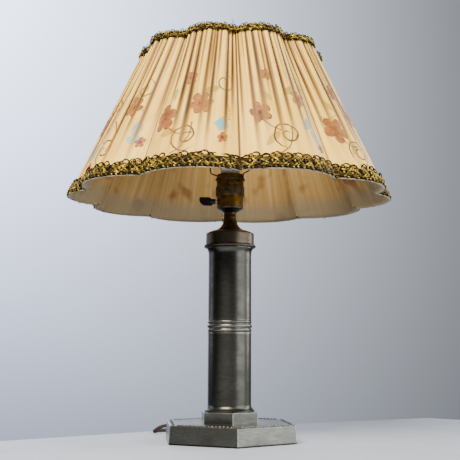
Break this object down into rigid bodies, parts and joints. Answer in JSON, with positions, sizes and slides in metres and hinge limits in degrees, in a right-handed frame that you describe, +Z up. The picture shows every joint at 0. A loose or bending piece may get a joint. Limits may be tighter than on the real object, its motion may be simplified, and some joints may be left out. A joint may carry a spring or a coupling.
{
  "type": "candlestick lamp",
  "caption": "Table lamp with a hexagonal metal base, round column, key-switch lampholder, bulb, and a scalloped pleated silk shade with braid on a wire carrier.",
  "frame": {"origin": "centre of the hexagonal base, on the table", "axes": "+Z up the column; -Y is the front, towards the picture's camera; the key points along -X"},
  "size_m": [0.4596, 0.4502, 0.5515],
  "materials": {
    "pewter": "satin, patinated pewter, cast and turned",
    "dark_pewter": "dark patina, satin",
    "brass": "aged brass, spun",
    "steel": "zinc plated",
    "iron": "raw cast",
    "felt": "black wool felt",
    "porcelain": "glazed porcelain",
    "bakelite": "black bakelite",
    "fibre": "vulcanised fibre",
    "copper": "bare brass contacts",
    "cord_textile": "braided textile sleeve",
    "tie": "cotton tape",
    "frosted_glass": "inside frosted",
    "clear_glass": "clear",
    "black_glass": "black glass insulator",
    "bulb_metal": "drawn aluminium",
    "tungsten": "drawn wire",
    "wire": "drawn steel wire",
    "frame_wire": "lacquered shade wire, taped",
    "silk": "pleated silk",
    "braid": "gold and black braided trim"
  },
  "bodies": {
    "stand": {"base_felt": "felt", "base_shell": "pewter", "bead_border": "pewter", "ballast_plate": "iron", "base_nut": "steel", "base_washer": "steel", "through_tube": "steel", "plinth": "pewter", "column_lower": "pewter", "column_band": "pewter", "column_upper": "pewter", "collar_ring": "dark_pewter", "top_cap": "dark_pewter", "brass_cone": "brass", "cord_bush": "bakelite", "inner_flex": "cord_textile", "holder_cup": "brass", "holder_lower_shell": "brass", "union_ring": "brass", "holder_upper_shell": "brass", "holder_core": "porcelain", "terminal_screws": "steel", "insulating_sleeve": "fibre", "screw_shell": "copper", "centre_contact": "copper", "cord_free": "cord_textile", "cord_coil": "cord_textile", "coil_tie": "tie", "plug_body": "bakelite", "plug_pins": "copper"},
    "switch": {"switch_key": "bakelite", "switch_spindle": "steel", "switch_rotor": "bakelite"},
    "bulb_foot": {"bulb_contact": "bulb_metal"},
    "bulb": {"bulb_glass": "frosted_glass", "bulb_cap": "bulb_metal", "bulb_insulator": "black_glass", "bulb_stem": "clear_glass", "filament": "tungsten"},
    "carrier": {"carrier_ring": "wire", "carrier_legs": "wire", "carrier_seat": "wire"},
    "shade": {"silk_panel_01": "silk", "silk_panel_02": "silk", "silk_panel_03": "silk", "silk_panel_04": "silk", "silk_panel_05": "silk", "silk_panel_06": "silk", "silk_panel_07": "silk", "silk_panel_08": "silk", "silk_panel_09": "silk", "silk_panel_10": "silk", "bottom_braid": "braid", "top_braid": "braid", "shade_bottom_frame": "frame_wire", "shade_top_frame": "frame_wire", "shade_ribs": "frame_wire", "spider_arms": "frame_wire", "fitter_ring": "frame_wire"}
  },
  "joints": [
    {"name": "key_turn", "type": "hinge", "parent": "stand", "child": "switch", "pos_m": [-0.02, 0, 0.332], "axis": [-1, 0, 0], "continuous": true},
    {"name": "bulb_lift", "type": "slide", "parent": "stand", "child": "bulb_foot", "axis": [0, 0, 1], "range_m": [0, 0.0182]},
    {"name": "bulb_turn", "type": "hinge", "parent": "bulb_foot", "child": "bulb", "pos_m": [0, 0, 0.36], "axis": [0, 0, 1], "range_deg": [0, 1800]},
    {"name": "carrier_twist", "type": "hinge", "parent": "stand", "child": "carrier", "pos_m": [0, 0, 0.363], "axis": [0, 0, 1], "range_deg": [-52, 0]},
    {"name": "shade_lift", "type": "slide", "parent": "carrier", "child": "shade", "axis": [0, 0, 1], "range_m": [0, 0.2]}
  ],
  "couplings": [
    {"joint": "bulb_lift", "follows": "bulb_turn", "m_per_rad": 0.00057757}
  ]
}
